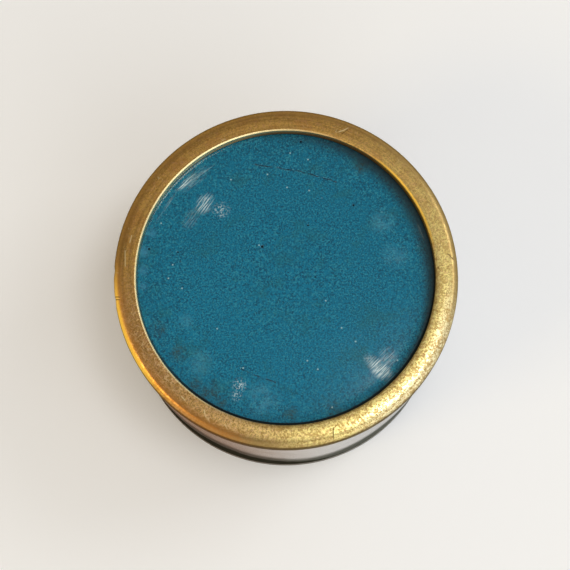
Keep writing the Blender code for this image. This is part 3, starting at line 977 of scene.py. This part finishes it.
def enamel_shape(r, z, angle):
    """The fired surface: very slight waves that fade out at the foot."""
    share = max(0.0, min(1.0, (z - ENAMEL_FOOT) / 0.5))
    place = Vector((r * cos(angle), r * sin(angle), 0.0))
    return r, z + share * ENAMEL_WAVE * noise.noise(place * ENAMEL_WAVES_PER_MM)


def enamel_section():
    """From the middle outwards: a faint dome, then glass that creeps up the rim as it was fired."""
    level = ENAMEL_FOOT + ENAMEL_RIM_RISE
    dome_rise = ENAMEL_TOP - level
    points = []
    for step in range(ENAMEL_STEPS + 1):
        r = CREEP_END * step / ENAMEL_STEPS
        creep = max(0.0, (r - CREEP_START) / (CREEP_END - CREEP_START))
        points.append((r, level + dome_rise * (1 - (r / CREEP_END) ** 2) + CREEP_RISE * creep ** 2, 0))
    return points


def build_enamel(finish):
    """The glass that fills the lip's opening."""
    corners = enamel_section() + [
        (ENAMEL_RADIUS, ENAMEL_FOOT + ENAMEL_RIM_RISE, 0.05),
        (ENAMEL_RADIUS, ENAMEL_FOOT, 0.05),
        (0, ENAMEL_FOOT, 0),
    ]
    mesh = turned_mesh("enamel_glaze", solid_section(corners), enamel_shape)
    add_piece(mesh, finish, "lid", "enamel_face")


def build_wall(finish):
    """The straight sheet wall of the base."""
    bore = WALL_RADIUS - WALL_THICKNESS
    corners = [
        (bore, WALL_FOOT, 0.05),
        (WALL_RADIUS, WALL_FOOT, 0.12),
        (WALL_RADIUS, WALL_TOP, 0.12),
        (bore, WALL_TOP, 0.05),
    ]
    mesh = turned_mesh("wall_sheet", subdivided(rounded(corners), PLAIN_STEP))
    add_piece(mesh, finish, "base", "body_wall")


def build_mouth(finish):
    """The bead round the mouth of the base, the thin bright line below the rim."""
    corners = [
        (MOUTH_BORE, MOUTH_FOOT, 0.05),
        (MOUTH_RADIUS, MOUTH_FOOT, 0.22),
        (MOUTH_RADIUS, MOUTH_TOP, 0.25),
        (MOUTH_BORE, MOUTH_TOP, 0.12),
    ]
    mesh = turned_mesh("mouth_bead", subdivided(rounded(corners), BEAD_STEP))
    add_piece(mesh, finish, "base", "mouth_ring")


def build_foot(finish):
    """The foot ring, with the ledge that the base plate lies on."""
    seat, ledge = PLATE_RADIUS + SEAM_GAP, PLATE_FOOT - SEAM_GAP
    corners = [
        (FOOT_BORE, FOOT_BOTTOM, 0.12),
        (FOOT_RADIUS, FOOT_BOTTOM, 0.25),
        (FOOT_RADIUS, FOOT_TOP, 0.10),
        (seat, FOOT_TOP, 0.05),
        (seat, ledge, 0.03),
        (FOOT_BORE, ledge, 0.08),
    ]
    mesh = turned_mesh("foot_bead", subdivided(rounded(corners), FINE_STEP))
    add_piece(mesh, finish, "base", "foot_ring")


def build_plate(finish):
    """The disc that closes the underside, shallowly recessed in the middle."""
    corners = [
        (0, PLATE_TOP, 0),
        (PLATE_RADIUS, PLATE_TOP, 0.05),
        (PLATE_RADIUS, PLATE_FOOT, 0.05),
        (15.6, PLATE_FOOT, 0.10),
        (15.4, PLATE_FOOT + RECESS_DEPTH, 0.10),
        (0, PLATE_FOOT + RECESS_DEPTH, 0),
    ]
    mesh = turned_mesh("base_disc", solid_section(corners))
    add_piece(mesh, finish, "base", "base_plate")


def build_liner(finish):
    """The gilt well, with a rounded corner between its floor and its side."""
    bore, floor = LINER_RADIUS - LINER_THICKNESS, LINER_FOOT + LINER_FLOOR
    corners = [
        (0, floor, 0),
        (bore, floor, 0.6),
        (bore, LINER_TOP, 0.08),
        (LINER_RADIUS, LINER_TOP, 0.08),
        (LINER_RADIUS, LINER_FOOT, 0.9),
        (0, LINER_FOOT, 0),
    ]
    mesh = turned_mesh("liner_bowl", solid_section(corners))
    add_piece(mesh, finish, "base", "liner_cup")


def build_backplate(finish):
    """The gilt disc on the lid's underside, with a step near its edge and a faint hollow."""
    corners = [
        (0, BACK_TOP, 0),
        (BACK_RADIUS, BACK_TOP, 0.05),
        (BACK_RADIUS, BACK_FOOT, 0.12),
        (14.4, BACK_FOOT, 0.10),
        (14.1, BACK_FOOT + 0.15, 0.12),
        (0, BACK_FOOT + 0.12, 0),
    ]
    mesh = turned_mesh("back_disc", solid_section(corners))
    add_piece(mesh, finish, "lid", "lid_backplate")


def spring_section(bore, radius, foot, top):
    """The rounded section of a spring ring."""
    corners = [(bore, foot), (radius, foot), (radius, top), (bore, top)]
    return rounded([(r, z, SPRING_ROUND) for r, z in corners])


def build_rings(finish):
    """The two split spring rings: the one that holds the plaque's stack and the one that grips the liner."""
    keeper = spring_section(KEEPER_BORE, KEEPER_RADIUS, KEEPER_FOOT, KEEPER_TOP)
    mesh = turned_mesh("keeper_spring", keeper, split=(KEEPER_GAP_START, 0.0))
    add_piece(mesh, finish, "lid", "retaining_ring")
    grip = spring_section(GRIP_BORE, GRIP_RADIUS, GRIP_FOOT, GRIP_TOP)
    mesh = turned_mesh("grip_spring", grip, split=(GRIP_GAP_START, 0.0))
    add_piece(mesh, finish, "grip", "grip_ring")


def refinish_hidden_stack():
    """The pieces inside the lid keep their CAD shapes and get their own finishes."""
    finishes = {
        "copper_plaque": bare_copper(),
        "counter_enamel": dark_enamel(),
        "packing_disc": pressed_cork(),
    }
    for node, finish in finishes.items():
        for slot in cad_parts[node].material_slots:
            slot.material = finish


# ------------ stage

FLOOR_HALF = 1.5  # in metres
DAYLIGHT_SIDE = (cos(radians(-15)), sin(radians(-15)), 0.0)
DAY_SKY = (0.95, 0.96, 1.0)
WARM_SKY = (0.91, 0.78, 0.62)
BACKDROP = (0.93, 0.93, 0.93)
OVERHEAD_SHARE = 0.28

VIEW_TILT = radians(11.12)
VIEW_TURN = radians(-0.57)
VIEW_REACH = 9.13  # camera distance in rim radii
VIEW_AIM = (-0.006, -0.058)  # in rim radii, from the middle of the rim's top
SENSOR_WIDTH = 36.0
FOCAL_LENGTH = 99.74
CLIP_RANGE = (0.01, 10.0)  # in metres

LIGHT_AIM_HEIGHT = 0.7  # as a share of the box's height
LAMP_WHITE = (1.0, 0.98, 0.95)
LAMP_AMBER = (1.0, 0.74, 0.36)
LIGHTS = (  # name, azimuth and elevation in degrees, distance and size in metres, watts, colour
    ("lamp_top", -12, 78, 0.50, 0.09, 0.30, LAMP_WHITE),
    ("key_right", 24, 46, 0.45, 0.18, 0.33, LAMP_WHITE),
    ("front_soft", -50, 38, 0.45, 0.45, 0.50, LAMP_WHITE),
    ("left_warm", 208, 40, 0.45, 0.13, 0.27, LAMP_AMBER),
)


def build_floor():
    """A plain square that the box stands on."""
    mesh = bpy.data.meshes.new("floor")
    signs = ((-1, -1), (1, -1), (1, 1), (-1, 1))
    mesh.from_pydata([(x * FLOOR_HALF, y * FLOOR_HALF, 0) for x, y in signs], [], [(0, 1, 2, 3)])
    mesh.materials.append(pale_floor())
    floor = bpy.data.objects.new("floor", mesh)
    bpy.context.scene.collection.objects.link(floor)


def add_softbox(name, azimuth, elevation, distance, size, power, colour):
    """A square area light that faces the middle of the box."""
    light = bpy.data.lights.new(name, "AREA")
    light.size = size
    light.energy = power
    light.color = colour
    holder = bpy.data.objects.new(name, light)
    a, e = radians(azimuth), radians(elevation)
    away = Vector((cos(a) * cos(e), sin(a) * cos(e), sin(e)))
    target = Vector((0, 0, RIM_TOP * MM * LIGHT_AIM_HEIGHT))
    holder.location = target + away * distance
    holder.rotation_mode = "QUATERNION"
    holder.rotation_quaternion = (-away).to_track_quat("-Z", "Y")
    bpy.context.scene.collection.objects.link(holder)


def build_sky():
    """Soft daylight from the right and dim warm light from the left, weakest overhead."""
    world = bpy.data.worlds.new("studio_sky")
    bpy.context.scene.world = world
    world.use_nodes = True
    tree = world.node_tree

    def node(kind, inputs, **settings):
        made = tree.nodes.new("ShaderNode" + kind)
        for key, value in settings.items():
            setattr(made, key, value)
        for key, value in inputs.items():
            if isinstance(value, bpy.types.NodeSocket):
                tree.links.new(value, made.inputs[key])
            else:
                made.inputs[key].default_value = value
        return made

    direction = node("TexCoord", {}).outputs["Generated"]
    height = node("SeparateXYZ", {0: direction}).outputs[2]
    facing = node("VectorMath", {0: direction, 1: DAYLIGHT_SIDE}, operation="DOT_PRODUCT").outputs["Value"]
    side = node("MapRange", {0: facing, 1: -0.7, 2: 0.7}).outputs[0]
    around = node("Mix", {0: side, 6: (*WARM_SKY, 1), 7: (*DAY_SKY, 1)}, data_type="RGBA").outputs[2]
    overhead = node("MapRange", {0: height, 1: 0.35, 2: 0.95, 3: 1.0, 4: OVERHEAD_SHARE}).outputs[0]
    dimmed = node("VectorMath", {0: around, "Scale": overhead}, operation="SCALE").outputs[0]
    seen = node("LightPath", {}).outputs["Is Camera Ray"]
    shown = node("Mix", {0: seen, 6: dimmed, 7: (*BACKDROP, 1)}, data_type="RGBA").outputs[2]
    tree.links.new(shown, tree.nodes["Background"].inputs[0])


def build_camera():
    """A close view from above the front, as one holds a phone over a small box."""
    data = bpy.data.cameras.new("camera")
    data.sensor_width = SENSOR_WIDTH
    data.lens = FOCAL_LENGTH
    data.clip_start, data.clip_end = CLIP_RANGE
    camera = bpy.data.objects.new("camera", data)
    unit = RIM_RADIUS * MM
    top = Vector((0, 0, RIM_TOP * MM))
    away = Vector((sin(VIEW_TILT) * sin(VIEW_TURN), -sin(VIEW_TILT) * cos(VIEW_TURN), cos(VIEW_TILT)))
    camera.location = top + away * VIEW_REACH * unit
    aim = top + Vector((*VIEW_AIM, 0)) * unit
    camera.rotation_mode = "QUATERNION"
    camera.rotation_quaternion = (aim - camera.location).to_track_quat("-Z", "Y")
    bpy.context.scene.collection.objects.link(camera)
    bpy.context.scene.camera = camera


def build_object():
    """The lid with its stack and rings, then the base."""
    brass, silver, gilt, bronze = rim_brass(), silver_plate(), gilt_brass(), spring_bronze()
    build_rim(brass)
    build_enamel(teal_enamel())
    build_backplate(gilt)
    build_rings(bronze)
    refinish_hidden_stack()
    build_wall(silver)
    build_mouth(silver)
    build_foot(silver)
    build_plate(silver)
    build_liner(gilt)


def build_stage():
    """The floor, the sky, the camera and the lights."""
    bpy.context.scene.view_settings.view_transform = "Standard"
    build_floor()
    build_sky()
    build_camera()
    for light in LIGHTS:
        add_softbox(*light)


build_object()
build_stage()
